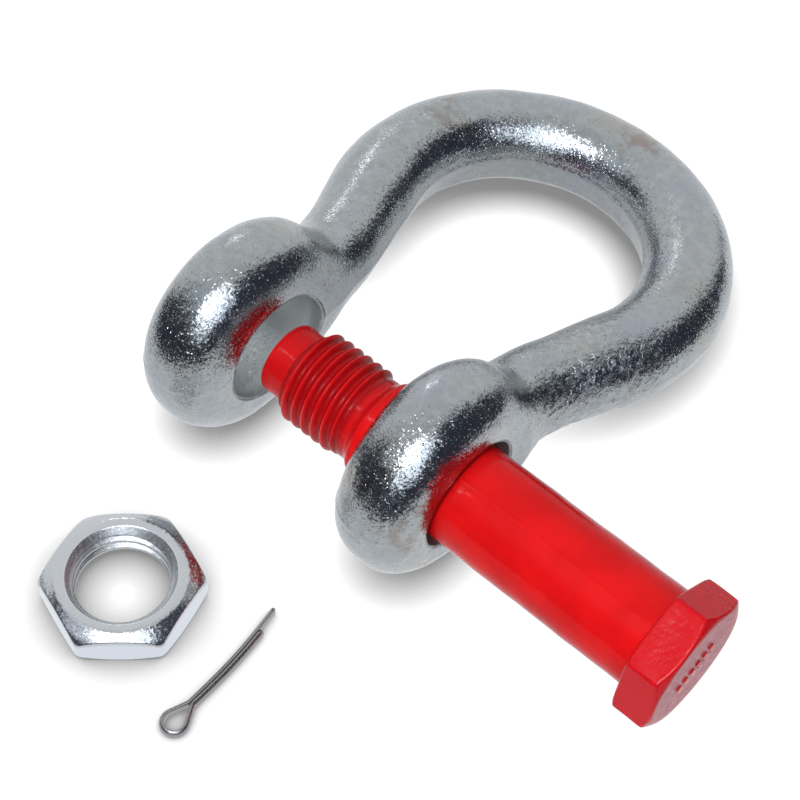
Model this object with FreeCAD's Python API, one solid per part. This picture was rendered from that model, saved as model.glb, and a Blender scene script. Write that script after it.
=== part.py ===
"""Bow (anchor) shackle with a hex-head bolt, a thin nut and a cotter pin, laid out on a flat surface.

Frame, in millimetres: the origin is the middle of the jaw on the axis of the two ear bores.
+X runs along the bores to the bolt's head, +Y towards the crown of the bow, +Z up.
The shackle lies on the surface z = FLOOR_Z: both ears and the crown touch it.
"""
import FreeCAD
import Part

import math
import os

from FreeCAD import Vector

# Bow
CROWN_BAR_DIAMETER = 19.4
NECK_BAR_DIAMETER = 18.2
TAPER_LENGTH = 16.0  # straight stretch between crown and shoulder where the bar thins
JAW_WIDTH = 31.5
EAR_WIDTH = 18.6
EAR_DIAMETER = 45.0
EAR_EDGE_RADIUS = 8.6
BORE_DIAMETER = 24.0
BORE_EDGE_CHAMFER = 0.4
CROWN_RADIUS = 34.5  # to the middle of the bar
CROWN_CENTRE_Y = 60.0  # along the bow, from the bore axis
SHOULDER_RADIUS = 47.0  # reverse bend between crown and ear, to the middle of the bar
NECK_FILLET = 5.0

# Bolt, with its head drawn back to HEAD_UNDERSIDE_X
SHANK_DIAMETER = 21.0
BOLT_DROP = 0.4  # the bolt hangs this far below the bore axis
HEAD_UNDERSIDE_X = 79.4
HEAD_HEIGHT = 8.2
HEAD_ACROSS_CORNERS = 29.2
HEAD_END_DISC_DIAMETER = 24.8
HEAD_UNDERSIDE_DISC_DIAMETER = 27.4
HEAD_TURN = 24.8  # degrees from +Y to the first corner
SHANK_START_X = 12.2
THREAD_END_X = 8.4
THREAD_START_X = -7.5
TIP_END_X = -13.4
NECK_DIAMETER = 18.0
TIP_DIAMETER = 15.3
TIP_CHAMFER = 0.8
COTTER_HOLE_DIAMETER = 3.2
COTTER_HOLE_TURN = 31.0  # degrees from +Y, about the bolt

# Thread, M20 x 2.5 with flanks rounded by paint on the bolt and cut oversize in the nut
PITCH = 2.5
BOLT_ROOT_RADIUS = 8.95
BOLT_CREST_RADIUS = 9.9
BOLT_RIDGE_BASE = 1.7
BOLT_RIDGE_CREST = 0.6
NUT_CREST_RADIUS = 9.25
NUT_ROOT_RADIUS = 10.25
NUT_GROOVE_MOUTH = 1.9
NUT_GROOVE_FLOOR = 0.8
THREAD_END_ROOM = 1.3  # from the thread's ends to the middle of the ridge's ends
RIDGE_START_TURN = 37.0  # degrees

# Nut, lying flat beside the jaw
NUT_X = -8.0
NUT_Y = -51.3
NUT_TURN = -16.8  # degrees from +X to a corner
NUT_ACROSS_CORNERS = 32.9
NUT_HEIGHT = 8.0
NUT_CHAMFER_DIAMETER = 25.0
NUT_COUNTERSINK_DIAMETER = 21.7

# Cotter pin, lying flat with its eye away from the bow
COTTER_NECK_X = 18.3
COTTER_NECK_Y = -59.2
COTTER_TURN = 94.6  # degrees from +X to the tips
WIRE_DIAMETER = 1.9
LEG_GAP = 0.08
LONG_LEG = 24.8
SHORT_LEG = 19.6
EYE_INNER_RADIUS = 1.95
EYE_CENTRE = 5.0  # behind the neck
NECK_BEND_RADIUS = 1.6

# Worked out from the driving dimensions
EAR_RADIUS = EAR_DIAMETER / 2
EAR_CENTRE_X = (JAW_WIDTH + EAR_WIDTH) / 2
FLOOR_Z = -EAR_RADIUS
CROWN_BAR_RADIUS = CROWN_BAR_DIAMETER / 2
NECK_BAR_RADIUS = NECK_BAR_DIAMETER / 2
CROWN_Y = CROWN_CENTRE_Y + CROWN_RADIUS
BOW_SLOPE = math.degrees(math.asin((EAR_RADIUS - CROWN_BAR_RADIUS) / CROWN_Y))
CHAMFER_SLOPE = math.tan(math.radians(30))

ORIGIN = Vector(0, 0, 0)
X = Vector(1, 0, 0)
Y = Vector(0, 1, 0)
Z = Vector(0, 0, 1)


def revolve_about_x(outline):
    """Turn a closed outline of (x, radius) points about the X axis."""
    points = [Vector(x, radius, 0) for x, radius in outline]
    wire = Part.makePolygon(points + points[:1])
    return Part.Face(wire).revolve(ORIGIN, X, 360)


def hexagon_prism(across_corners, height, turn):
    """A hexagonal prism standing on the XY plane, its first corner turned from +X."""
    corners = []
    for index in range(7):
        angle = math.radians(turn + 60 * index)
        corners.append(Vector(math.cos(angle), math.sin(angle), 0) * (across_corners / 2))
    return Part.Face(Part.makePolygon(corners)).extrude(Z * height)


def turned_blank(low_radius, high_radius, widest_radius, height):
    """A disc on the XY plane whose two rims are cut back at 30 degrees."""
    low_rise = (widest_radius - low_radius) * CHAMFER_SLOPE
    high_rise = (widest_radius - high_radius) * CHAMFER_SLOPE
    outline = [
        Vector(0, 0, 0),
        Vector(low_radius, 0, 0),
        Vector(widest_radius, 0, low_rise),
        Vector(widest_radius, 0, height - high_rise),
        Vector(high_radius, 0, height),
        Vector(0, 0, height),
        Vector(0, 0, 0),
    ]
    return Part.Face(Part.makePolygon(outline)).revolve(ORIGIN, Z, 360)


def helical_ridge(inner_radius, outer_radius, inner_width, outer_width, turns):
    """A right-hand ridge wound up +Z from z = 0, starting RIDGE_START_TURN from +X."""
    helix = Part.makeHelix(PITCH, PITCH * turns, inner_radius)
    section = [
        Vector(inner_radius, 0, -inner_width / 2),
        Vector(outer_radius, 0, -outer_width / 2),
        Vector(outer_radius, 0, outer_width / 2),
        Vector(inner_radius, 0, inner_width / 2),
    ]
    profile = Part.makePolygon(section + section[:1])
    ridge = Part.Wire(helix).makePipeShell([profile], True, True)
    ridge.rotate(ORIGIN, Z, RIDGE_START_TURN)
    return ridge


def bow_half():
    """One side of the bow in its own plane: quarter crown, taper, shoulder bend, and ear without its bore."""
    bend_x = EAR_CENTRE_X + SHOULDER_RADIUS
    reach = math.hypot(CROWN_RADIUS + SHOULDER_RADIUS, TAPER_LENGTH)
    bend_y = CROWN_CENTRE_Y - math.sqrt(reach ** 2 - bend_x ** 2)
    fall = math.atan2(CROWN_CENTRE_Y - bend_y, bend_x) - math.atan2(TAPER_LENGTH, CROWN_RADIUS + SHOULDER_RADIUS)
    outward = Vector(math.cos(fall), -math.sin(fall), 0)
    along = Vector(-math.sin(fall), -math.cos(fall), 0)
    crown_end = Vector(0, CROWN_CENTRE_Y, 0) + outward * CROWN_RADIUS

    crown_section = Part.Face(Part.Wire(Part.makeCircle(CROWN_BAR_RADIUS, Vector(0, CROWN_Y, 0), X)))
    crown = crown_section.revolve(Vector(0, CROWN_CENTRE_Y, 0), -Z, 90 + math.degrees(fall))
    taper = Part.makeCone(CROWN_BAR_RADIUS, NECK_BAR_RADIUS, TAPER_LENGTH, crown_end, along)
    neck_section = Part.Face(Part.Wire(Part.makeCircle(NECK_BAR_RADIUS, Vector(EAR_CENTRE_X, bend_y, 0), Y)))
    shoulder = neck_section.revolve(Vector(bend_x, bend_y, 0), -Z, math.degrees(fall))
    leg = neck_section.extrude(-Y * bend_y)
    bar = crown.fuse([taper, shoulder, leg])

    ear = Part.makeCylinder(EAR_RADIUS, EAR_WIDTH, Vector(EAR_CENTRE_X - EAR_WIDTH / 2, 0, 0), X)
    rims = [edge for edge in ear.Edges if isinstance(edge.Curve, Part.Circle)]
    ear = ear.makeFillet(EAR_EDGE_RADIUS, rims)
    side = bar.fuse(ear).removeSplitter()
    seams = [edge for edge in side.Edges if is_neck_seam(edge)]
    return side.makeFillet(NECK_FILLET, seams)


def is_neck_seam(edge):
    """True for an edge where the round bar runs into the ear."""
    middle = edge.valueAt((edge.FirstParameter + edge.LastParameter) / 2)
    from_axis = math.hypot(middle.y, middle.z)
    between = isinstance(edge.Curve, (Part.Circle, Part.Line))
    return not between and from_axis < EAR_RADIUS + 0.1 and middle.y > 0


def make_bow():
    """The forged bow, tipped so that its crown and ears lie on the surface."""
    right = bow_half()
    left = right.mirror(ORIGIN, X)
    bow = right.fuse(left).removeSplitter()
    bore_length = JAW_WIDTH + 2 * EAR_WIDTH
    bore = Part.makeCylinder(BORE_DIAMETER / 2, bore_length, Vector(-bore_length / 2, 0, 0), X)
    bow = bow.cut(bore)
    mouths = [edge for edge in bow.Edges if is_bore_mouth(edge)]
    bow = bow.makeChamfer(BORE_EDGE_CHAMFER, mouths)
    bow.rotate(ORIGIN, X, -BOW_SLOPE)
    return bow


def is_bore_mouth(edge):
    """True for a round edge at either end of an ear's bore."""
    return isinstance(edge.Curve, Part.Circle) and abs(edge.Curve.Radius - BORE_DIAMETER / 2) < 0.01


def make_bolt():
    """The bolt: hex head, shank, rolled thread with a neck behind it, and plain drilled tip."""
    body = revolve_about_x([
        (TIP_END_X, 0),
        (TIP_END_X, TIP_DIAMETER / 2 - TIP_CHAMFER),
        (TIP_END_X + TIP_CHAMFER, TIP_DIAMETER / 2),
        (THREAD_START_X, TIP_DIAMETER / 2),
        (THREAD_START_X + 0.4, BOLT_ROOT_RADIUS),
        (THREAD_END_X, BOLT_ROOT_RADIUS),
        (THREAD_END_X + 0.3, NECK_DIAMETER / 2),
        (SHANK_START_X - 1.8, NECK_DIAMETER / 2),
        (SHANK_START_X, SHANK_DIAMETER / 2),
        (HEAD_UNDERSIDE_X + 1.0, SHANK_DIAMETER / 2),
        (HEAD_UNDERSIDE_X + 1.0, 0),
    ])
    body = body.fuse(bolt_thread())
    body = body.cut(thread_end_cone(THREAD_START_X + 0.4, THREAD_START_X + 1.6))
    body = body.cut(thread_end_cone(THREAD_END_X, THREAD_END_X - 2.2))

    head = hexagon_prism(HEAD_ACROSS_CORNERS, HEAD_HEIGHT, HEAD_TURN)
    blank = turned_blank(
        HEAD_UNDERSIDE_DISC_DIAMETER / 2,
        HEAD_END_DISC_DIAMETER / 2,
        HEAD_ACROSS_CORNERS / 2,
        HEAD_HEIGHT,
    )
    head = head.common(blank)
    stand_along_x(head)
    head.translate(X * HEAD_UNDERSIDE_X)

    bolt = body.fuse(head).removeSplitter()
    hole_x = (TIP_END_X + THREAD_START_X) / 2 + 0.1
    hole = Part.makeCylinder(COTTER_HOLE_DIAMETER / 2, 2 * TIP_DIAMETER, Vector(hole_x, -TIP_DIAMETER, 0), Y)
    hole.rotate(ORIGIN, X, COTTER_HOLE_TURN)
    bolt = bolt.cut(hole)
    bolt.translate(-Z * BOLT_DROP)
    return bolt


def stand_along_x(shape):
    """Tip a shape built up +Z so that it points along +X, its own +X turning to +Y."""
    shape.rotate(ORIGIN, Vector(1, 1, 1), 120)


def bolt_thread():
    """The thread's helical ridge, from the tip's shoulder to the neck."""
    turns = (THREAD_END_X - THREAD_START_X - 2 * THREAD_END_ROOM) / PITCH
    ridge = helical_ridge(BOLT_ROOT_RADIUS - 0.15, BOLT_CREST_RADIUS, BOLT_RIDGE_BASE, BOLT_RIDGE_CREST, turns)
    stand_along_x(ridge)
    ridge.translate(X * (THREAD_START_X + THREAD_END_ROOM))
    return ridge


def thread_end_cone(root_x, crest_x):
    """The space that one fading end of the thread leaves free, from its root to above its crest."""
    rise = BOLT_CREST_RADIUS - BOLT_ROOT_RADIUS
    outer_radius = BOLT_CREST_RADIUS + 2 * rise
    outer_x = root_x + (crest_x - root_x) * (outer_radius - BOLT_ROOT_RADIUS) / rise
    return revolve_about_x([
        (root_x, BOLT_ROOT_RADIUS + 0.02),
        (outer_x, outer_radius),
        (2 * root_x - crest_x, outer_radius),
        (2 * root_x - crest_x, BOLT_ROOT_RADIUS + 0.02),
    ])


def make_nut():
    """The thin hex nut, chamfered and countersunk on both faces, with a cut thread."""
    plain_hole = Part.makeCylinder(NUT_CREST_RADIUS, NUT_HEIGHT)
    nut = Part.makeCylinder(NUT_ACROSS_CORNERS / 2, NUT_HEIGHT).cut(plain_hole)
    turns = math.ceil(NUT_HEIGHT / PITCH) + 2
    groove = helical_ridge(NUT_CREST_RADIUS - 0.15, NUT_ROOT_RADIUS, NUT_GROOVE_MOUTH, NUT_GROOVE_FLOOR, turns)
    groove.translate(-Z * PITCH)
    nut = nut.cut(groove)

    mouth = NUT_COUNTERSINK_DIAMETER / 2
    sink = mouth - NUT_CREST_RADIUS
    nut = nut.cut(Part.makeCone(mouth + 1, NUT_CREST_RADIUS - 1, sink + 2, -Z, Z))
    nut = nut.cut(Part.makeCone(mouth + 1, NUT_CREST_RADIUS - 1, sink + 2, Z * (NUT_HEIGHT + 1), -Z))

    flats = hexagon_prism(NUT_ACROSS_CORNERS, NUT_HEIGHT, NUT_TURN)
    chamfer_radius = NUT_CHAMFER_DIAMETER / 2
    flats = flats.common(turned_blank(chamfer_radius, chamfer_radius, NUT_ACROSS_CORNERS / 2, NUT_HEIGHT))
    nut = nut.common(flats)
    nut.translate(Vector(NUT_X, NUT_Y, FLOOR_Z))
    return nut


def make_cotter_pin():
    """The cotter pin: one half-round wire, doubled flat to flat, with a round eye."""
    flat = LEG_GAP / 2
    bend_y = flat + NECK_BEND_RADIUS
    spread = math.hypot(EYE_CENTRE, bend_y)
    flare = math.asin((EYE_INNER_RADIUS + NECK_BEND_RADIUS) / spread) - math.atan2(bend_y, EYE_CENTRE)

    def neck_point(turn, side):
        return Vector(-NECK_BEND_RADIUS * math.sin(turn), side * (bend_y - NECK_BEND_RADIUS * math.cos(turn)), 0)

    def eye_point(turn, side):
        return Vector(-EYE_CENTRE + EYE_INNER_RADIUS * math.sin(turn), side * EYE_INNER_RADIUS * math.cos(turn), 0)

    path = Part.Wire([
        Part.LineSegment(Vector(LONG_LEG, flat, 0), neck_point(0, 1)).toShape(),
        Part.Arc(neck_point(0, 1), neck_point(flare / 2, 1), neck_point(flare, 1)).toShape(),
        Part.LineSegment(neck_point(flare, 1), eye_point(flare, 1)).toShape(),
        Part.Arc(eye_point(flare, 1), Vector(-EYE_CENTRE - EYE_INNER_RADIUS, 0, 0), eye_point(flare, -1)).toShape(),
        Part.LineSegment(eye_point(flare, -1), neck_point(flare, -1)).toShape(),
        Part.Arc(neck_point(flare, -1), neck_point(flare / 2, -1), neck_point(0, -1)).toShape(),
        Part.LineSegment(neck_point(0, -1), Vector(SHORT_LEG, -flat, 0)).toShape(),
    ])
    radius = WIRE_DIAMETER / 2
    start = Vector(LONG_LEG, flat, 0)
    flat_side = Part.LineSegment(start - Z * radius, start + Z * radius).toShape()
    round_side = Part.Arc(start + Z * radius, start + Y * radius, start - Z * radius).toShape()
    pin = path.makePipeShell([Part.Wire([flat_side, round_side])], True, False)
    pin.rotate(ORIGIN, Z, COTTER_TURN)
    pin.translate(Vector(COTTER_NECK_X, COTTER_NECK_Y, FLOOR_Z + radius))
    return pin


def main():
    os.makedirs("parts", exist_ok=True)
    pieces = {
        "bow": make_bow(),
        "bolt": make_bolt(),
        "nut": make_nut(),
        "cotter_pin": make_cotter_pin(),
    }
    for name, shape in pieces.items():
        if not shape.isValid() or len(shape.Solids) != 1:
            raise RuntimeError(name + " is not one valid solid")
        shape.exportStep(os.path.join("parts", name + ".step"))
        print(name, round(shape.Volume), "mm3")


if __name__ == "__main__":
    main()
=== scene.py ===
"""Looks of the bow shackle: detailed meshes for its four pieces, materials, floor, light and camera."""
import math

import bpy
import numpy as np
from mathutils import Matrix, Vector


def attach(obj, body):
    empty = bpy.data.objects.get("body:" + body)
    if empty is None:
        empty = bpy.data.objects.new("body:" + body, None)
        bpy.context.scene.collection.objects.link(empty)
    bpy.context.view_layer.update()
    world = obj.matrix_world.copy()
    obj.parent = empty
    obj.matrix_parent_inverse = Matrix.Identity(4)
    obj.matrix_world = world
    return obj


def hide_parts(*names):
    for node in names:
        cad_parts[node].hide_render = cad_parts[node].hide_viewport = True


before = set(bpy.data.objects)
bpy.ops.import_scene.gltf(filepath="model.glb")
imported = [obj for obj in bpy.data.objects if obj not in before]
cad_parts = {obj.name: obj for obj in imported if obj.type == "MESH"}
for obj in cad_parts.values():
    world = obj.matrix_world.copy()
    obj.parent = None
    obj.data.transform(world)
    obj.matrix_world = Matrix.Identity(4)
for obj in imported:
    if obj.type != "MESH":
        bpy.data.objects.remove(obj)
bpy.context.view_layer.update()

MM = 0.001

# Sizes in millimetres and angles in radians, in the part's frame. The main ones are the CAD part's own.
FLOOR_Z = -22.5

# the bow, which lies tilted: its ears and its crown both touch the floor
BAR_RADIUS = 9.7
NECK_BAR_RADIUS = 9.1
TAPER_LENGTH = 16.0
EAR_X = 25.05
EAR_HALF_WIDTH = 9.3
EAR_RADIUS = 22.5
EAR_EDGE = 8.6
EAR_BLEND = 6.0
EAR_DROOP = 0.45
BORE_RADIUS = 12.0
SEAT_RELIEF = 0.12
SEAT_RADIUS = 14.8
CROWN_RADIUS = 34.5
CROWN_Y = 60.0
SHOULDER_RADIUS = 47.0
BOW_SLOPE = math.asin((EAR_RADIUS - BAR_RADIUS) / (CROWN_Y + CROWN_RADIUS))
FACET_TILT = math.radians(15)
FACET_DEPTH = 0.5
FACET_START_Y = 12.0
FLASH_HEIGHT = 0.10
RUST_PLACE = (1.4, 96.5, -3.0)
SCALE_PLACE = (38.0, 38.0, 0.0)

# the bolt, its head towards +X
SHANK_RADIUS = 10.5
BOLT_DROP = 0.4
HEAD_X = 79.4
HEAD_HEIGHT = 8.2
FACE_X = HEAD_X + HEAD_HEIGHT
HEAD_APOTHEM = 14.6 * math.cos(math.radians(30))
HEAD_FACE_RADIUS = 12.4
HEAD_SEAT_RADIUS = 13.7
HEAD_TURN = math.radians(24.8)
MARKS_EACH_SIDE = 3
MARK_SPACING = 1.9
MARK_HALF_WIDTH = 0.66
MARK_HALF_LENGTH = 1.75
MARK_HEIGHT = 0.35
DRAW_LINE_TURN = math.radians(109)
DRAW_LINE_WIDTH = 0.28
DRAW_LINE_HEIGHT = 0.05
TIP_X = -13.4
TIP_RADIUS = 7.65
TIP_CHAMFER = 0.55
THREAD_START_X = -7.5
THREAD_END_X = 8.4
THREAD_PHASE_X = -6.2
THREAD_PHASE_TURN = math.radians(37)
ROOT_RADIUS = 8.75
CREST_RADIUS = 9.9
NECK_RADIUS = 9.0
SHANK_START_X = 12.2
PITCH = 2.5
HOLE_X = -10.35
HOLE_RADIUS = 1.6
HOLE_TURN = math.radians(31)

# the nut, lying on the floor
NUT_CENTRE = (-8.0, -51.3)
NUT_TURN = math.radians(-16.8)
NUT_APOTHEM = 16.45 * math.cos(math.radians(30))
NUT_HEIGHT = 8.0
NUT_FACE_RADIUS = 12.5
NUT_CHAMFER = math.radians(30)
NUT_CORNER_RADIUS = 14.0
NUT_CORNER_CHAMFER = math.radians(50)
NUT_SEAT_RADIUS = 13.8
NUT_CREST = 9.25
NUT_ROOT = 10.25
NUT_SINK = 10.85

# the cotter pin, lying on the floor
COTTER_NECK = (18.3, -59.2)
COTTER_TURN = math.radians(94.6)
WIRE_RADIUS = 0.95
LEG_FLAT = 0.04
LONG_LEG = 24.8
SHORT_LEG = 19.6
EYE_RADIUS = 1.95
EYE_CENTRE = 5.0
NECK_BEND = 1.6
LEG_SAG = 0.6

# the camera, in degrees and millimetres
CAMERA_AZIMUTH = -51.618
CAMERA_ELEVATION = 55.365
CAMERA_ROLL = 3.863
CAMERA_DISTANCE = 407.08
CAMERA_TARGET = (5.79, 12.96, -10.5)
CAMERA_LENS = 91.34


# ---------------------------------------------------------------- mesh tools

def smooth_min(a, b, k):
    """The smaller of two fields, rounded over a width k where they meet."""
    h = np.clip(0.5 + 0.5 * (b - a) / k, 0, 1)
    return b * (1 - h) + a * h - k * h * (1 - h)


def smooth_max(a, b, k):
    """The larger of two fields, rounded over a width k where they meet."""
    return -smooth_min(-a, -b, k)


def smooth_step(t):
    """Rises from 0 to 1 as t does, level at both ends."""
    t = np.clip(t, 0, 1)
    return t * t * (3 - 2 * t)


def spaced(*stretches):
    """Grid lines: each stretch is (start, end, step), and they follow on from each other."""
    lines = [np.array([stretches[0][0]])]
    for start, end, step in stretches:
        count = max(1, int(round((end - start) / step)))
        lines.append(np.linspace(start, end, count + 1)[1:])
    return np.concatenate(lines)


def surface_net(field, xs, ys, zs):
    """Vertices and quads around field's zero level on a grid, the vertices then moved exactly onto it."""
    ny, nz = len(ys), len(zs)
    yy, zz = np.meshgrid(ys, zs, indexing="ij")
    values = np.empty((len(xs), ny, nz))
    for i, x in enumerate(xs):
        values[i] = field(np.full(yy.shape, x), yy, zz)
    inside = values < 0
    corners = [(a, b, c) for a in (0, 1) for b in (0, 1) for c in (0, 1)]
    count = np.zeros((len(xs) - 1, ny - 1, nz - 1), np.int8)
    for a, b, c in corners:
        count += inside[a:len(xs) - 1 + a, b:ny - 1 + b, c:nz - 1 + c]
    cells = np.argwhere((count > 0) & (count < 8))
    number = -np.ones(count.shape, np.int64)
    number[tuple(cells.T)] = np.arange(len(cells))

    lines = (xs, ys, zs)
    total = np.zeros((len(cells), 3))
    hits = np.zeros(len(cells))
    for axis in range(3):
        others = [k for k in range(3) if k != axis]
        for b in (0, 1):
            for c in (0, 1):
                low = cells.copy()
                low[:, others[0]] += b
                low[:, others[1]] += c
                high = low.copy()
                high[:, axis] += 1
                v0 = values[tuple(low.T)]
                v1 = values[tuple(high.T)]
                crossing = (v0 < 0) != (v1 < 0)
                t = np.where(crossing, v0 / np.where(crossing, v0 - v1, 1), 0)
                point = np.stack([lines[k][low[:, k]] for k in range(3)], 1)
                point[:, axis] += t * (lines[axis][high[:, axis]] - lines[axis][low[:, axis]])
                total += point * crossing[:, None]
                hits += crossing
    points = total / hits[:, None]

    quads = []
    for axis in range(3):
        u, v = [(1, 2), (2, 0), (0, 1)][axis]
        ahead = [slice(None)] * 3
        behind = [slice(None)] * 3
        ahead[axis] = slice(1, None)
        behind[axis] = slice(None, -1)
        first = inside[tuple(behind)]
        edges = np.argwhere(first != inside[tuple(ahead)])
        edges = edges[(edges[:, u] > 0) & (edges[:, v] > 0)]
        outward = first[tuple(edges.T)]
        ring = []
        for du, dv in ((0, 0), (-1, 0), (-1, -1), (0, -1)):
            cell = edges.copy()
            cell[:, u] += du
            cell[:, v] += dv
            ring.append(number[tuple(cell.T)])
        ring = np.stack(ring, 1)
        ring[~outward] = ring[~outward][:, ::-1]
        quads.append(ring)
    quads = np.concatenate(quads)

    for _ in range(4):
        points = nearer(field, points)
    return points, quads


def nearer(field, points):
    """Points moved along the field's slope towards its zero level, by no more than 0.4 mm."""
    step = 0.01
    steepness_floor = 0.04
    furthest = 0.4
    x, y, z = points.T
    here = field(x, y, z)
    slope = np.stack([
        field(x + step, y, z) - field(x - step, y, z),
        field(x, y + step, z) - field(x, y - step, z),
        field(x, y, z + step) - field(x, y, z - step),
    ], 1) / (2 * step)
    size = np.maximum((slope ** 2).sum(1), steepness_floor)
    move = slope * (here / size)[:, None]
    length = np.maximum(np.linalg.norm(move, axis=1), 1e-9)
    return points - move * np.minimum(1, furthest / length)[:, None]


def quad_mesh(name, points, quads):
    """A mesh from points in millimetres and an array of quads."""
    mesh = bpy.data.meshes.new(name)
    mesh.vertices.add(len(points))
    mesh.vertices.foreach_set("co", (points * MM).astype(np.float32).ravel())
    mesh.loops.add(quads.size)
    mesh.loops.foreach_set("vertex_index", quads.astype(np.int32).ravel())
    mesh.polygons.add(len(quads))
    mesh.polygons.foreach_set("loop_start", np.arange(0, quads.size, 4, dtype=np.int32))
    mesh.polygons.foreach_set("loop_total", np.full(len(quads), 4, np.int32))
    mesh.update(calc_edges=True)
    mesh.validate()
    return mesh


def add_piece(mesh, body, material):
    """A smooth-shaded object of that mesh, in place of the CAD node of that body and riding on it."""
    mesh.shade_smooth()
    mesh.materials.append(material)
    piece = bpy.data.objects.new(mesh.name, mesh)
    bpy.context.scene.collection.objects.link(piece)
    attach(piece, body)
    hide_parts(body)
    return piece


# ---------------------------------------------------------------- bow

def bow_line():
    """Where the bow's centre line turns, in its own plane: the shoulder's centre, and the taper's slant."""
    bend_x = EAR_X + SHOULDER_RADIUS
    reach = math.hypot(CROWN_RADIUS + SHOULDER_RADIUS, TAPER_LENGTH)
    bend_y = CROWN_Y - math.sqrt(reach ** 2 - bend_x ** 2)
    fall = math.atan2(CROWN_Y - bend_y, bend_x) - math.atan2(TAPER_LENGTH, CROWN_RADIUS + SHOULDER_RADIUS)
    return bend_x, bend_y, fall


BEND_X, BEND_Y, FALL = bow_line()
OUT_X, OUT_Y = math.cos(FALL), -math.sin(FALL)


def forging_waves(x, y, z):
    """Shallow hollows and swells left by the forging hammer and die."""
    broad = np.sin(0.21 * x + 0.13 * y + 1.1) * np.sin(0.17 * y - 0.24 * z + 0.4)
    middle = np.sin(0.47 * x - 0.31 * y + 0.52 * z) * np.sin(0.39 * y + 0.43 * x + 2.0)
    fine = np.sin(1.1 * x + 0.7 * y - 0.9 * z + 0.5) * np.sin(0.9 * y - 0.8 * x + 1.3 * z)
    return 0.10 * broad + 0.045 * middle + 0.012 * fine


def forging_scale(x, y, z):
    """A rougher patch on the outer side of one leg, where scale was hammered into the surface."""
    middle = (37, 36, 1)
    reach = (10, 17, 8.5)
    patch = np.exp(-sum(((place - at) / far) ** 4 for place, at, far in zip((x, y, z), middle, reach)))
    bent_x = x + 1.3 * np.sin(0.9 * y + 0.7 * z + 0.5) + 0.5 * np.sin(2.1 * z - 1.3 * y)
    bent_y = y + 1.5 * np.sin(0.8 * z - 0.6 * x + 1.2) + 0.6 * np.sin(1.9 * x + 0.8 * z)
    bent_z = z + 1.1 * np.sin(0.7 * x + 0.9 * y) + 0.4 * np.sin(2.3 * y + 1.1 * x)
    coarse = np.sin(1.1 * bent_x + 0.6 * bent_z) * np.sin(1.3 * bent_y - 0.9 * bent_z)
    fine = np.sin(2.7 * bent_x - 1.4 * bent_y) * np.sin(2.4 * bent_z + 1.1 * bent_y + 0.7)
    return patch * (0.11 * coarse + 0.04 * fine)


def bow_field(x, y, z):
    """Signed distance to the bow lying in the XY plane."""
    side = np.abs(x)
    from_crown_y = y - CROWN_Y
    along = -side * math.sin(FALL) - from_crown_y * math.cos(FALL)
    crown_offset = np.hypot(side, from_crown_y) - CROWN_RADIUS
    taper_offset = side * OUT_X + from_crown_y * OUT_Y - CROWN_RADIUS
    shoulder_offset = SHOULDER_RADIUS - np.hypot(side - BEND_X, y - BEND_Y)
    leg_offset = side - EAR_X
    offset = np.where(along < TAPER_LENGTH, taper_offset, shoulder_offset)
    offset = np.where(along < 0, crown_offset, offset)
    offset = np.where(y < BEND_Y, leg_offset, offset)
    radius = BAR_RADIUS + (NECK_BAR_RADIUS - BAR_RADIUS) * smooth_step(along / TAPER_LENGTH)
    below = np.minimum(y, 0)
    bar = np.sqrt(offset ** 2 + z ** 2 + below ** 2) - radius

    # the inner side was trimmed along the parting line: a flat facet, its upper edge crisp
    facet = -offset * math.cos(FACET_TILT) - z * math.sin(FACET_TILT) - (radius - FACET_DEPTH)
    lip = 0.30 * np.exp(-((z - 0.9) / 0.55) ** 2) * (offset < 0)
    bar = np.where(y > FACET_START_Y, smooth_max(bar - lip, facet, 0.10), bar)

    from_axis = np.hypot(y, z)
    cross = np.abs(side - EAR_X) - (EAR_HALF_WIDTH - EAR_EDGE)
    droop = np.where(x < 0, EAR_DROOP, 0.0)
    rise = np.hypot(y + droop, z) - (EAR_RADIUS + 0.7 * droop - EAR_EDGE)
    beyond = np.hypot(np.maximum(cross, 0), np.maximum(rise, 0))
    ear = beyond + np.minimum(np.maximum(cross, rise), 0) - EAR_EDGE

    body = smooth_min(bar, ear, EAR_BLEND)
    # the remains of the flash, round the outside in the die's parting plane
    outside = (offset > 0) | (y < 2)
    uneven = 0.06 * np.sin(0.9 * y + 0.7 * x) * np.sin(0.23 * y)
    seam = np.exp(-(z / 0.45) ** 2) * (FLASH_HEIGHT + uneven)
    body = body - np.where(outside, seam, 0)
    body = body + forging_waves(x, y, z) + forging_scale(x, y, z)
    # the ears' outer faces are dressed round the bore, so that the bolt's head seats on one of them
    run_out = 0.5 * np.maximum(from_axis - SEAT_RADIUS, 0)
    body = smooth_max(body, side - EAR_X - EAR_HALF_WIDTH + SEAT_RELIEF - run_out, 0.2)
    return smooth_max(body, BORE_RADIUS - from_axis, 0.35)


def make_bow(material):
    """The bow, made flat and then tilted about the bore axis until ears and crown both lie on the floor."""
    step = 0.5
    # the lines miss the bore's surface, because one that ran along it would leave quads of no width
    xs = spaced((-45.5, 45.5, step))
    ys = spaced((-24.2, 105.8, step))
    zs = spaced((-24.3, 23.7, step))
    points, quads = surface_net(bow_field, xs, ys, zs)
    cosine, sine = math.cos(BOW_SLOPE), math.sin(BOW_SLOPE)
    x, y, z = points.T
    points = np.stack((x, y * cosine + z * sine, z * cosine - y * sine), 1)
    return add_piece(quad_mesh("bow_forging", points, quads), "bow", material)


# ---------------------------------------------------------------- bolt

def off_ridge(x, turn, phase_x):
    """How far this place is along the axis from the middle of a right-hand helical ridge."""
    turns = (x - phase_x) / PITCH - (turn - THREAD_PHASE_TURN) / (2 * math.pi)
    return np.abs(turns - np.round(turns)) * PITCH


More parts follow.
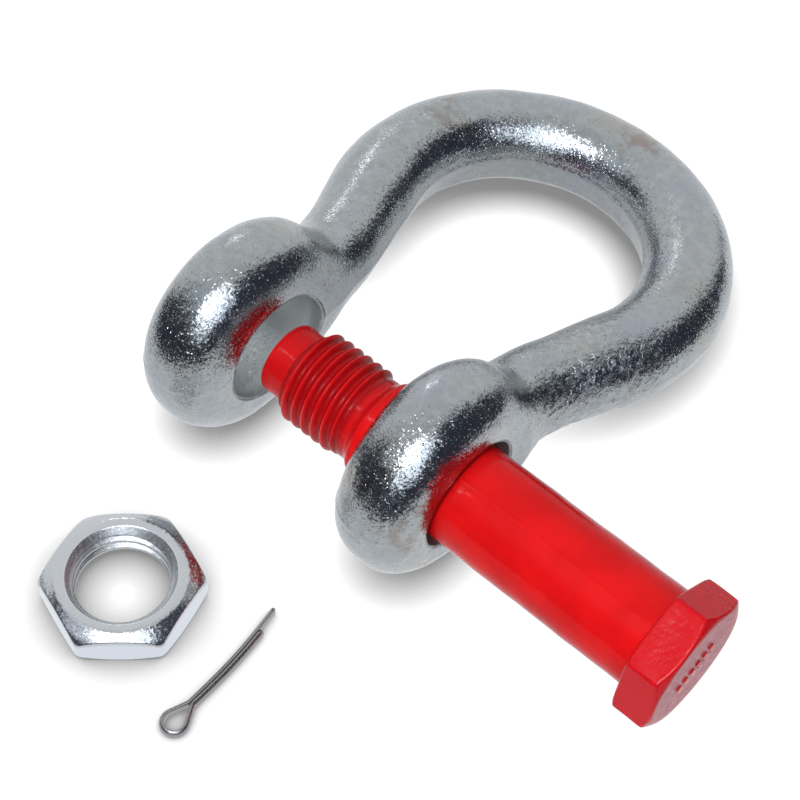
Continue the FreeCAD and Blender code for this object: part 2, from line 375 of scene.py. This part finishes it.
def hexagon(y, z, apothem, turn, k):
    """Signed distance to a hexagonal prism, its first corner at turn."""
    flats = []
    for index in range(3):
        angle = turn + math.radians(30 + 60 * index)
        flats.append(np.abs(y * math.cos(angle) + z * math.sin(angle)) - apothem)
    return smooth_max(smooth_max(flats[0], flats[1], k), flats[2], k)


def chamfer(from_axis, depth, radius, angle):
    """Signed distance to a cone that leaves a face at radius and slants away from it by angle."""
    return (from_axis - radius) * math.sin(angle) - depth * math.cos(angle)


def bolt_radius(x, turn):
    """The bolt's radius from its tip to the head: plain tip, thread, neck, flare and shank."""
    wave = 0.5 + 0.5 * np.cos(2 * np.pi * off_ridge(x, turn, THREAD_PHASE_X) / PITCH)
    fade = smooth_step((x - THREAD_START_X - 0.3) / 1.3) * smooth_step((THREAD_END_X - x) / 2.2)
    threaded = ROOT_RADIUS + (CREST_RADIUS - ROOT_RADIUS) * wave ** 1.35 * fade
    leaving_tip = TIP_RADIUS + (threaded - TIP_RADIUS) * smooth_step((x - THREAD_START_X + 0.3) / 0.8)
    radius = np.where(x < THREAD_START_X + 0.5, leaving_tip, threaded)
    flare = smooth_step((x - SHANK_START_X + 2.3) / 2.4)
    return np.where(x > THREAD_END_X, NECK_RADIUS + (SHANK_RADIUS - NECK_RADIUS) * flare, radius)


def head_field(x, y, z):
    """Signed distance to the hex head, chamfered at its face and at its seat."""
    from_axis = np.hypot(y, z)
    head = hexagon(y, z, HEAD_APOTHEM, HEAD_TURN, 0.5)
    head = smooth_max(head, x - FACE_X, 0.35)
    head = smooth_max(head, HEAD_X - x, 0.55)
    head = smooth_max(head, chamfer(from_axis, FACE_X - x, HEAD_FACE_RADIUS, math.radians(30)), 0.35)
    return smooth_max(head, chamfer(from_axis, x - HEAD_X, HEAD_SEAT_RADIUS, math.radians(30)), 0.35)


def mark_field(x, y, z):
    """Signed distance to the row of plain raised bars on the head's face."""
    along = y * math.cos(HEAD_TURN) + z * math.sin(HEAD_TURN)
    beside = z * math.cos(HEAD_TURN) - y * math.sin(HEAD_TURN)
    number = np.clip(np.round(along / MARK_SPACING - 0.5), -MARKS_EACH_SIDE, MARKS_EACH_SIDE - 1)
    across = np.abs(along - (number + 0.5) * MARK_SPACING)
    mark = smooth_max(across - MARK_HALF_WIDTH, np.abs(beside) - MARK_HALF_LENGTH, 0.25)
    mark = smooth_max(mark, x - FACE_X - MARK_HEIGHT, 0.15)
    return smooth_max(mark, HEAD_X + 2 - x, 0.1)


def bolt_field(x, y, z):
    """Signed distance to the bolt, its axis along X."""
    from_axis = np.hypot(y, z)
    turn = np.arctan2(z, y)
    # scaled down, because the radius changes along the axis and the field would be too steep
    body = (from_axis - bolt_radius(x, turn)) * 0.9
    tip_slant = (from_axis - TIP_RADIUS + TIP_CHAMFER) * 0.69 - (x - TIP_X) * 0.72
    body = smooth_max(body, tip_slant, 0.5)
    body = smooth_max(body, TIP_X - x, 0.5)
    body = smooth_max(body, x - HEAD_X - 2, 0.1)
    bolt = smooth_min(body, head_field(x, y, z), 0.9)
    bolt = smooth_min(bolt, mark_field(x, y, z), 0.25)

    # the cross hole for the cotter pin
    across = y * math.sin(HOLE_TURN) - z * math.cos(HOLE_TURN)
    bolt = smooth_max(bolt, HOLE_RADIUS - np.hypot(x - HOLE_X, across), 0.4)

    # a drawing line along the shank, and the paint's unevenness
    off_line = (turn - DRAW_LINE_TURN - 0.02 * np.sin(0.11 * x)) * SHANK_RADIUS
    on_shank = smooth_step((x - 14) / 2) * smooth_step((HEAD_X - x) / 2)
    line = DRAW_LINE_HEIGHT * np.exp(-(off_line / DRAW_LINE_WIDTH) ** 2) * on_shank
    drips = 0.03 * np.sin(0.35 * x + 2 * turn) + 0.02 * np.sin(0.9 * x - 3 * turn + 1)
    return bolt - line + drips * np.where(x > SHANK_START_X, 1.0, 0.3)


def make_bolt(material):
    """The bolt, in a grid that is fine at the thread and the head and coarse along the plain shank."""
    fine, across = ((0.2, 0.24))
    thread = (-13.9, 13.4, fine)
    shank = ((13.4, 15.0, 0.4), (15.0, 77.0, 1.0), (77.0, 78.6, 0.4))
    head = (78.6, 88.6, fine * 1.2)
    xs = spaced(thread, *shank, head)
    ys = spaced((-15.3, 15.3, across))
    points, quads = surface_net(bolt_field, xs, ys, ys)
    points[:, 2] -= BOLT_DROP
    return add_piece(quad_mesh("bolt_painted", points, quads), "bolt", material)


# ---------------------------------------------------------------- nut

def nut_field(x, y, z):
    """Signed distance to the nut, standing on Z = 0 with its axis along Z."""
    from_axis = np.hypot(x, y)
    turn = np.arctan2(y, x)
    depth = NUT_HEIGHT - z
    top = smooth_max(-depth, chamfer(from_axis, depth, NUT_FACE_RADIUS, NUT_CHAMFER), 0.3)
    top = smooth_max(top, chamfer(from_axis, depth, NUT_CORNER_RADIUS, NUT_CORNER_CHAMFER), 0.4)
    seat = smooth_max(-z, chamfer(from_axis, z, NUT_SEAT_RADIUS, NUT_CHAMFER), 0.3)
    nut = hexagon(x, y, NUT_APOTHEM, NUT_TURN, 0.9)
    nut = smooth_max(nut, top, 0.3)
    nut = smooth_max(nut, seat, 0.3)
    groove = smooth_step((1.05 - off_ridge(z, turn, 0.0)) / 0.75)
    bore = NUT_CREST + (NUT_ROOT - NUT_CREST) * groove
    sunk = NUT_SINK - np.minimum(z, depth)
    hole = smooth_max(bore, sunk, 0.15)
    return smooth_max(nut, (hole - from_axis) * 0.75, 0.15)


def make_nut(material):
    """The nut, where it lies on the floor."""
    step = 0.17
    line = spaced((-16.8, 16.8, step))
    heights = spaced((-0.6, 8.6, step))
    points, quads = surface_net(nut_field, line, line, heights)
    points += np.array((*NUT_CENTRE, FLOOR_Z))
    return add_piece(quad_mesh("nut_plated", points, quads), "nut", material)


# ---------------------------------------------------------------- cotter pin

def cotter_path():
    """Points along the wire's flat side, from the long leg's end round the eye to the short leg's, each with
    the direction in which the wire's round side faces.
    """
    bend_y = LEG_FLAT + NECK_BEND
    spread = math.hypot(EYE_CENTRE, bend_y)
    flare = math.asin((EYE_RADIUS + NECK_BEND) / spread) - math.atan2(bend_y, EYE_CENTRE)
    half = []
    for t in np.linspace(0, 1, 26):
        half.append((LONG_LEG * (1 - t), LEG_FLAT, 0.0, 1.0))
    for t in np.linspace(0, flare, 9)[1:]:
        sine, cosine = math.sin(t), math.cos(t)
        half.append((-NECK_BEND * sine, bend_y - NECK_BEND * cosine, sine, cosine))
    for t in np.linspace(flare, -math.pi / 2, 30):
        sine, cosine = math.sin(t), math.cos(t)
        half.append((-EYE_CENTRE + EYE_RADIUS * sine, EYE_RADIUS * cosine, sine, cosine))
    upper = np.array(half)
    lower = upper[::-1][1:].copy()
    lower[:, 1] *= -1
    lower[:, 3] *= -1
    straight = lower[:, 0] > 0
    lower[straight, 0] *= SHORT_LEG / LONG_LEG
    path = np.concatenate((upper, lower))
    path[:, 1] -= LEG_SAG * np.sin(np.pi * np.clip(path[:, 0], 0, LONG_LEG) / LONG_LEG)
    return path


def wire_section():
    """The half-round wire's outline: how far out from its flat side, and how high, at each point."""
    section = []
    for angle in np.linspace(-math.pi / 2, math.pi / 2, 17):
        out, height = WIRE_RADIUS * math.cos(angle), WIRE_RADIUS * math.sin(angle)
        at_edge = out < 0.1
        section.append((max(out, 0.06), 0.94 * height if at_edge else height))
    for height in np.linspace(0.8, -0.8, 7):
        section.append((0.0, height))
    return section


def make_cotter(material):
    """The cotter pin: its section swept along the path, closed at both ends, and laid on the floor."""
    path = cotter_path()
    section = wire_section()
    count = len(section)
    points = []
    for px, py, nx, ny in path:
        points += [(px + nx * out, py + ny * out, height) for out, height in section]
    faces = []
    for row in range(len(path) - 1):
        first = row * count
        for j in range(count):
            k = (j + 1) % count
            faces.append((first + j, first + count + j, first + count + k, first + k))
    last_row = len(path) - 1
    for row in (0, last_row):
        first = row * count
        middle = len(points)
        points.append(tuple(np.mean(points[first:first + count], axis=0)))
        for j in range(count):
            rim = (first + j, first + (j + 1) % count)
            faces.append((middle, *(rim if row == 0 else rim[::-1])))

    cosine, sine = math.cos(COTTER_TURN), math.sin(COTTER_TURN)
    x, y, z = np.array(points).T
    placed = np.stack((
        COTTER_NECK[0] + x * cosine - y * sine,
        COTTER_NECK[1] + x * sine + y * cosine,
        FLOOR_Z + WIRE_RADIUS + z,
    ), 1)
    mesh = bpy.data.meshes.new("cotter_wire")
    mesh.from_pydata((placed * MM).tolist(), [], faces)
    return add_piece(mesh, "cotter_pin", material)


# ---------------------------------------------------------------- materials

class Tree:
    """Short hand for building a node tree. A value is a number, a colour or another node's socket."""

    def __init__(self, owner):
        owner.use_nodes = True
        self.tree = owner.node_tree

    def add(self, kind, **settings):
        node = self.tree.nodes.new(kind)
        for key, value in settings.items():
            setattr(node, key, value)
        return node

    def link(self, a, b):
        self.tree.links.new(a, b)

    def put(self, value, socket):
        """Sets a socket, or links it."""
        if isinstance(value, (int, float)):
            socket.default_value = value
        elif isinstance(value, tuple):
            socket.default_value = (*value, 1)
        else:
            self.link(value, socket)

    def mix(self, factor, a, b):
        node = self.add("ShaderNodeMix", data_type="RGBA")
        self.put(factor, node.inputs[0])
        self.put(a, node.inputs[6])
        self.put(b, node.inputs[7])
        return node.outputs[2]

    def ramp(self, value, low, high, to_low=0.0, to_high=1.0, kind="SMOOTHSTEP"):
        """Takes low to to_low and high to to_high, and levels off beyond them."""
        node = self.add("ShaderNodeMapRange", interpolation_type=kind)
        self.link(value, node.inputs["Value"])
        node.inputs["From Min"].default_value = low
        node.inputs["From Max"].default_value = high
        node.inputs["To Min"].default_value = to_low
        node.inputs["To Max"].default_value = to_high
        return node.outputs["Result"]

    def glow(self, kind, colour, strength):
        """An emission or a background shader."""
        node = self.add(kind)
        self.put(colour, node.inputs["Color"])
        self.put(strength, node.inputs["Strength"])
        return node.outputs[0]

    def by_ray(self, seen, scattered, reflected):
        """One shader for camera rays, one for diffuse ones and one for all the others."""
        rays = self.add("ShaderNodeLightPath")
        others = self.add("ShaderNodeMixShader")
        self.link(rays.outputs["Is Diffuse Ray"], others.inputs[0])
        self.link(reflected, others.inputs[1])
        self.link(scattered, others.inputs[2])
        choice = self.add("ShaderNodeMixShader")
        self.link(rays.outputs["Is Camera Ray"], choice.inputs[0])
        self.link(others.outputs[0], choice.inputs[1])
        self.link(seen, choice.inputs[2])
        return choice.outputs[0]


class Nodes(Tree):
    """A material's node tree, with places and distances in millimetres of the part's frame."""

    def __init__(self, name):
        self.material = bpy.data.materials.new(name)
        super().__init__(self.material)
        self.shader = self.tree.nodes["Principled BSDF"]
        place = self.add("ShaderNodeTexCoord")
        scale = self.add("ShaderNodeMapping")
        scale.inputs["Scale"].default_value = (1 / MM, 1 / MM, 1 / MM)
        self.link(place.outputs["Object"], scale.inputs["Vector"])
        self.mm = scale.outputs["Vector"]

    def noise(self, scale, detail=2.0, rough=0.5, distortion=0.0):
        node = self.add("ShaderNodeTexNoise")
        node.inputs["Scale"].default_value = scale
        node.inputs["Detail"].default_value = detail
        node.inputs["Roughness"].default_value = rough
        node.inputs["Distortion"].default_value = distortion
        self.link(self.mm, node.inputs["Vector"])
        return node.outputs["Fac"]

    def grains(self, scale):
        """A different colour in each small grain."""
        node = self.add("ShaderNodeTexVoronoi")
        node.inputs["Scale"].default_value = scale
        self.link(self.mm, node.inputs["Vector"])
        return node.outputs["Color"]

    def maths(self, operation, *values):
        node = self.add("ShaderNodeMath", operation=operation)
        for socket, value in zip(node.inputs, values):
            self.put(value, socket)
        return node.outputs["Value"]

    def product(self, a, b):
        return self.maths("MULTIPLY", a, b)

    def sum(self, a, b):
        return self.maths("ADD", a, b)

    def apart(self, a, b):
        """How far two values are apart."""
        return self.maths("ABSOLUTE", self.maths("SUBTRACT", a, b))

    def bump(self, height, distance, normal=None):
        """The surface's normal over bumps up to that many millimetres high."""
        node = self.add("ShaderNodeBump")
        node.inputs["Strength"].default_value = 1.0
        node.inputs["Distance"].default_value = distance * MM
        self.link(height, node.inputs["Height"])
        if normal is not None:
            self.link(normal, node.inputs["Normal"])
        return node.outputs["Normal"]

    def tilt(self, colour, amount):
        """The surface's normal, turned a little one way or another in each coloured grain."""
        centred = self.add("ShaderNodeVectorMath", operation="SUBTRACT")
        self.link(colour, centred.inputs[0])
        centred.inputs[1].default_value = (0.5, 0.5, 0.5)
        scaled = self.add("ShaderNodeVectorMath", operation="SCALE")
        self.link(centred.outputs[0], scaled.inputs[0])
        self.link(amount, scaled.inputs["Scale"])
        total = self.add("ShaderNodeVectorMath", operation="ADD")
        self.link(scaled.outputs[0], total.inputs[0])
        self.link(self.add("ShaderNodeNewGeometry").outputs["Normal"], total.inputs[1])
        unit = self.add("ShaderNodeVectorMath", operation="NORMALIZE")
        self.link(total.outputs[0], unit.inputs[0])
        return unit.outputs[0]

    def part(self, axis):
        """One coordinate of the place on the surface, in millimetres."""
        split = self.add("ShaderNodeSeparateXYZ")
        self.link(self.mm, split.inputs[0])
        return split.outputs[axis]

    def distance_from(self, place):
        """Distance from a place, in millimetres."""
        away = self.add("ShaderNodeVectorMath", operation="DISTANCE")
        self.link(self.mm, away.inputs[0])
        away.inputs[1].default_value = place
        return away.outputs["Value"]

    def length(self, a, b):
        """The length of two coordinates taken together."""
        squares = [self.maths("POWER", self.maths("ABSOLUTE", value), 2.0) for value in (a, b)]
        return self.maths("SQRT", self.sum(*squares))

    def from_x_axis(self):
        """Distance from the axis of the bores and the bolt, in millimetres."""
        return self.length(self.part("Y"), self.part("Z"))

    def from_nut_axis(self):
        """Distance from the axis of the nut where it lies, in millimetres."""
        x = self.maths("SUBTRACT", self.part("X"), NUT_CENTRE[0])
        y = self.maths("SUBTRACT", self.part("Y"), NUT_CENTRE[1])
        return self.length(x, y)

    def set(self, **values):
        """Sets or links the surface shader's own sockets."""
        for key, value in values.items():
            self.put(value, self.shader.inputs[key.replace("_", " ")])


def zinc_material():
    """Zinc plate over a forging: fine bright grains, a paler bore, brown stains and dark pits."""
    m = Nodes("zinc_coated_steel")
    mottle = m.noise(0.5, 4.0, 0.6)
    broad = m.noise(0.07, 3.0, 0.55)
    colour = m.mix(m.ramp(mottle, 0.35, 0.7), (0.345, 0.362, 0.372), (0.40, 0.425, 0.435))
    colour = m.mix(m.ramp(broad, 0.50, 0.70, 0.0, 0.55), colour, (0.41, 0.39, 0.36))
    colour = m.mix(m.ramp(broad, 0.48, 0.32, 0.0, 0.6), colour, (0.355, 0.375, 0.425))

    # brown stains here and there, and one smudge of rust on the crown
    stained = m.ramp(m.noise(0.035, 2.0, 0.5), 0.58, 0.66)
    stains = m.product(stained, m.ramp(m.noise(0.4, 3.0, 0.6), 0.42, 0.6))
    colour = m.mix(m.product(stains, 0.55), colour, (0.24, 0.19, 0.155))
    pits = m.ramp(m.noise(1.3, 3.0, 0.7), 0.66, 0.72)
    colour = m.mix(pits, colour, (0.13, 0.125, 0.12))

    # painted shade at the bores' rims, and the bores themselves, darker towards both mouths with painted
    # shade
    off_rim = m.apart(m.from_x_axis(), BORE_RADIUS + 0.35)
    patchy = m.ramp(m.noise(0.25, 2.0, 0.5), 0.35, 0.55, 0.35, 0.9)
    # painted shade: the rims darkened in patches
    colour = m.mix(m.product(m.ramp(off_rim, 0.42, 0.18), patchy), colour, (0.10, 0.105, 0.11))
    bore = m.ramp(m.from_x_axis(), BORE_RADIUS + 0.3, BORE_RADIUS + 0.1)
    colour = m.mix(bore, colour, (0.57, 0.61, 0.61))
    # painted shade: each bore darker towards its mouths
    off_middle = m.apart(m.maths("ABSOLUTE", m.part("X")), EAR_X)
    mouth_shade = m.ramp(off_middle, EAR_HALF_WIDTH - 3.0, EAR_HALF_WIDTH - 0.4, 0.0, 0.6)
    colour = m.mix(m.product(bore, mouth_shade), colour, (0.16, 0.18, 0.19))
    ragged = m.ramp(m.noise(0.35, 3.0, 0.6), 0.3, 0.7, 0.0, 6.0)
    rust = m.ramp(m.sum(m.distance_from(RUST_PLACE), ragged), 9.0, 4.0, 0.0, 0.6)
    colour = m.mix(rust, colour, (0.27, 0.20, 0.175))

    rough = m.ramp(mottle, 0.3, 0.75, 0.14, 0.24)
    rough = m.sum(rough, m.product(pits, 0.25))
    rough = m.sum(rough, m.product(bore, 0.22))
    m.set(Base_Color=colour, Metallic=m.ramp(bore, 0, 1, 1.0, 0.7), Roughness=rough)

    # tilted grains, fine and broad bumps, and the scaly patch on one leg
    normal = m.tilt(m.grains(3.6), m.ramp(m.noise(3.6, 0.0), 0.48, 0.78, 0.10, 0.7))
    normal = m.bump(m.noise(1.6, 3.0, 0.65), 0.055, normal)
    normal = m.bump(m.noise(0.4, 2.0, 0.5), 0.07, normal)
    scaly = m.ramp(m.distance_from(SCALE_PLACE), 20.0, 13.0)
    normal = m.bump(m.product(m.noise(0.45, 4.0, 0.6, 2.0), scaly), 0.26, normal)
    m.set(Normal=normal)
    return m.material


def red_material():
    """Red enamel, worn silvery on the face of the head where the paint has rubbed off."""
    m = Nodes("red_enamel")
    x = m.part("X")
    from_axis = m.from_x_axis()
    colour = m.mix(m.ramp(m.noise(0.12, 3.0, 0.5), 0.35, 0.65), (0.44, 0.004, 0.005), (0.50, 0.005, 0.006))
    # painted shade: the paint darker over the tip, thread and neck
    thread_shade = m.ramp(x, 13.0, 11.0, 0.0, 0.22)
    colour = m.mix(thread_shade, colour, (0.10, 0.004, 0.006))

    # painted shade in the thread's valleys, and a painted highlight on its crests
    in_thread = m.product(m.ramp(x, 9.5, 8.5), m.ramp(x, THREAD_START_X - 0.5, THREAD_START_X))
    valley_shade = m.product(in_thread, m.ramp(from_axis, 9.45, 8.9))
    colour = m.mix(m.product(valley_shade, 0.5), colour, (0.10, 0.002, 0.003))
    crest_highlight = m.product(in_thread, m.ramp(from_axis, CREST_RADIUS - 0.28, CREST_RADIUS - 0.08))
    colour = m.mix(m.product(crest_highlight, 0.35), colour, (0.62, 0.10, 0.09))

    # a deeper red on the head, but not on the tops of the marks
    below_tops = m.ramp(x, FACE_X + 0.22, FACE_X + 0.12)
    crimson = m.product(m.ramp(x, HEAD_X - 0.8, HEAD_X + 0.2, 0.0, 0.75), below_tops)
    colour = m.mix(crimson, colour, (0.40, 0.004, 0.010))

    # the worn face, between its edge and the marks
    at_face = m.product(m.ramp(x, FACE_X - 0.12, FACE_X - 0.06), m.ramp(x, FACE_X + 0.16, FACE_X + 0.10))
    face = m.product(at_face, m.ramp(from_axis, 11.9, 10.9))
    worn = m.product(face, m.ramp(m.noise(0.6, 3.0, 0.6), 0.32, 0.62, 0.25, 0.95))
    colour = m.mix(worn, colour, (0.36, 0.066, 0.093))
    gloss = m.ramp(m.noise(0.8, 3.0, 0.6), 0.35, 0.65, 0.08, 0.14)
    rough = m.sum(gloss, m.sum(m.product(worn, 0.16), m.product(crimson, 0.10)))
    m.set(Base_Color=colour, Metallic=m.product(worn, 0.4), IOR=1.2, Roughness=rough)

    # orange peel, stronger on the head
    peel = m.product(m.noise(0.8, 2.0, 0.5), m.ramp(x, HEAD_X - 1, HEAD_X + 0.5, 0.25, 1.0))
    normal = m.bump(m.noise(0.5, 2.0, 0.5), 0.03)
    m.set(Normal=m.bump(peel, 0.06, normal))
    return m.material


def nut_material():
    """Bright plate, paler on the flats below the chamfer as a painted reflection of the floor, and duller
    inside the thread.
    """
    m = Nodes("bright_zinc_plate")
    grain = m.noise(1.5, 3.0, 0.6)
    from_axis = m.from_nut_axis()
    inside = m.ramp(from_axis, NUT_SINK + 0.25, NUT_SINK - 0.25)
    slope = m.product(m.maths("SUBTRACT", from_axis, NUT_FACE_RADIUS), math.tan(NUT_CHAMFER))
    above_chamfer = m.sum(m.maths("SUBTRACT", m.part("Z"), FLOOR_Z + NUT_HEIGHT), slope)
    # painted reflection: the flats below the chamfer paler than the top and its chamfer
    plate = m.mix(m.ramp(above_chamfer, -0.7, -1.1), (0.57, 0.585, 0.61), (0.68, 0.71, 0.76))
    m.set(Base_Color=m.mix(inside, plate, (0.50, 0.51, 0.52)), Metallic=1.0)
    m.set(Roughness=m.sum(m.ramp(grain, 0.3, 0.7, 0.15, 0.25), m.product(inside, 0.2)))
    normal = m.tilt(m.grains(3.6), m.ramp(grain, 0.35, 0.7, 0.05, 0.20))
    m.set(Normal=m.bump(grain, 0.03, normal))
    return m.material


def wire_material():
    """Dull plated wire."""
    m = Nodes("plated_wire")
    grain = m.noise(3.0, 3.0, 0.6)
    m.set(Base_Color=(0.33, 0.32, 0.32), Metallic=1.0)
    m.set(Roughness=m.ramp(grain, 0.3, 0.7, 0.26, 0.42))
    m.set(Normal=m.bump(grain, 0.02))
    return m.material


# ---------------------------------------------------------------- floor, light, camera

def direction(azimuth, elevation):
    """The direction at that azimuth from +X and that elevation, both in degrees."""
    a, e = math.radians(azimuth), math.radians(elevation)
    return Vector((math.cos(e) * math.cos(a), math.cos(e) * math.sin(a), math.sin(e)))


def floor_material():
    """Pale paper that gives its own light, darker close to the part with painted shadow, and dimmer where
    the bow reflects it, a painted shadow.
    """
    material = bpy.data.materials.new("floor_paper")
    t = Tree(material)
    t.tree.nodes.clear()
    # painted shadow: the glow seen by the camera dimmed by ambient occlusion close to the part
    shelter = t.add("ShaderNodeAmbientOcclusion")
    shelter.inputs["Distance"].default_value = 0.010
    seen = t.ramp(shelter.outputs["AO"], 0.36, 0.88, 0.25, 1.05, "LINEAR")
    # painted shadow inside the bow's loop, in the glow that the bow reflects
    place = t.add("ShaderNodeNewGeometry")
    away = t.add("ShaderNodeVectorMath", operation="DISTANCE")
    away.inputs[1].default_value = (0, 0.055, FLOOR_Z * MM)
    t.link(place.outputs["Position"], away.inputs[0])
    ring_shadow = t.ramp(away.outputs["Value"], 0.022, 0.048, 0.70, 0.98, "LINEAR")
    kind = "ShaderNodeEmission"
    shader = t.by_ray(
        seen=t.glow(kind, (1.0, 1.0, 1.0), seen),
        scattered=t.glow(kind, (1.0, 1.0, 1.0), 0.8),
        reflected=t.glow(kind, (0.98, 1.0, 1.03), ring_shadow),
    )
    t.link(shader, t.add("ShaderNodeOutputMaterial").inputs["Surface"])
    return material


def make_floor():
    """A sheet of pale paper, larger on every side than what the camera takes in."""
    front = direction(-51.6, 0)
    side = direction(38.4, 0)
    corners = [(0.135, -0.14), (0.135, 0.15), (-0.21, 0.15), (-0.21, -0.14)]
    points = [front * along + side * across + Vector((0, 0, FLOOR_Z * MM)) for along, across in corners]
    mesh = bpy.data.meshes.new("floor")
    mesh.from_pydata([tuple(p) for p in points], [], [(0, 1, 2, 3)])
    mesh.materials.append(floor_material())
    floor = bpy.data.objects.new("floor", mesh)
    bpy.context.scene.collection.objects.link(floor)


def make_world():
    """A studio that is pale behind the shackle and dark on the side in front of it."""
    world = bpy.data.worlds.new("studio")
    bpy.context.scene.world = world
    t = Tree(world)
    t.tree.nodes.clear()
    way = t.add("ShaderNodeTexCoord").outputs["Generated"]

    def near(azimuth, elevation, outer, inner):
        """Rises from 0 to 1 between two angles from a direction."""
        dot = t.add("ShaderNodeVectorMath", operation="DOT_PRODUCT")
        dot.inputs[1].default_value = direction(azimuth, elevation)
        t.link(way, dot.inputs[0])
        return t.ramp(dot.outputs["Value"], math.cos(math.radians(outer)), math.cos(math.radians(inner)))

    colour = t.mix(near(-44, -32, 124, 115), (0.90, 0.92, 0.93), (0.05, 0.055, 0.075))
    colour = t.mix(near(-44, 89, 27, 14), colour, (0.72, 0.74, 0.75))
    colour = t.mix(near(-115, 58, 30, 12), colour, (0.70, 0.75, 0.82))
    colour = t.mix(near(-50, 49, 32, 12), colour, (2.4, 2.6, 2.85))
    kind = "ShaderNodeBackground"
    shader = t.by_ray(
        seen=t.glow(kind, (1.0, 1.0, 1.0), 1.0),
        scattered=t.glow(kind, (1.0, 1.0, 1.0), 0.37),
        reflected=t.glow(kind, colour, 1.0),
    )
    t.link(shader, t.add("ShaderNodeOutputWorld").inputs["Surface"])


def add_lamp(name, azimuth, elevation, distance, size, power, in_gloss, only=None):
    """A soft lamp of that width and height in metres, aimed at the shackle. It may light one piece only."""
    lamp = bpy.data.lights.new(name, "AREA")
    lamp.shape = "RECTANGLE"
    lamp.size, lamp.size_y = size
    lamp.energy = power
    holder = bpy.data.objects.new(name, lamp)
    bpy.context.scene.collection.objects.link(holder)
    aim = Vector((0.01, 0.02, -0.01))
    way = direction(azimuth, elevation)
    holder.location = aim + way * distance
    holder.rotation_euler = way.to_track_quat("Z", "Y").to_euler()
    holder.visible_glossy = in_gloss
    if only is not None:
        lit = bpy.data.collections.new(name + "_lights")
        lit.objects.link(only)
        holder.light_linking.receiver_collection = lit


def make_camera():
    """The camera at the photograph's viewing angle, aimed between the ears and rolled a little."""
    data = bpy.data.cameras.new("camera")
    data.sensor_width = 36.0
    data.lens = CAMERA_LENS
    data.clip_start = 0.01
    data.clip_end = 20.0
    camera = bpy.data.objects.new("camera", data)
    bpy.context.scene.collection.objects.link(camera)
    back = direction(CAMERA_AZIMUTH, CAMERA_ELEVATION)
    level = direction(CAMERA_AZIMUTH + 90, 0)
    up = back.cross(level)
    roll = math.radians(CAMERA_ROLL)
    right = level * math.cos(roll) + up * math.sin(roll)
    top = up * math.cos(roll) - level * math.sin(roll)
    turned = Matrix((right, top, back)).transposed().to_4x4()
    turned.translation = (Vector(CAMERA_TARGET) + back * CAMERA_DISTANCE) * MM
    camera.matrix_world = turned
    bpy.context.scene.camera = camera


make_bow(zinc_material())
bolt = make_bolt(red_material())
make_nut(nut_material())
make_cotter(wire_material())

make_floor()
make_world()
add_lamp("key", -76, 59, 0.9, (0.20, 0.20), 2.6, True)
add_lamp("soft_key", -80, 60, 0.9, (0.5, 0.5), 4.6, False)
add_lamp("window", 144, 26, 0.9, (0.06, 0.06), 0.14, True)
add_lamp("strip", -134, 58.5, 0.9, (0.19, 0.012), 0.26, True, bolt)
make_camera()
bpy.context.scene.view_settings.view_transform = "Standard"
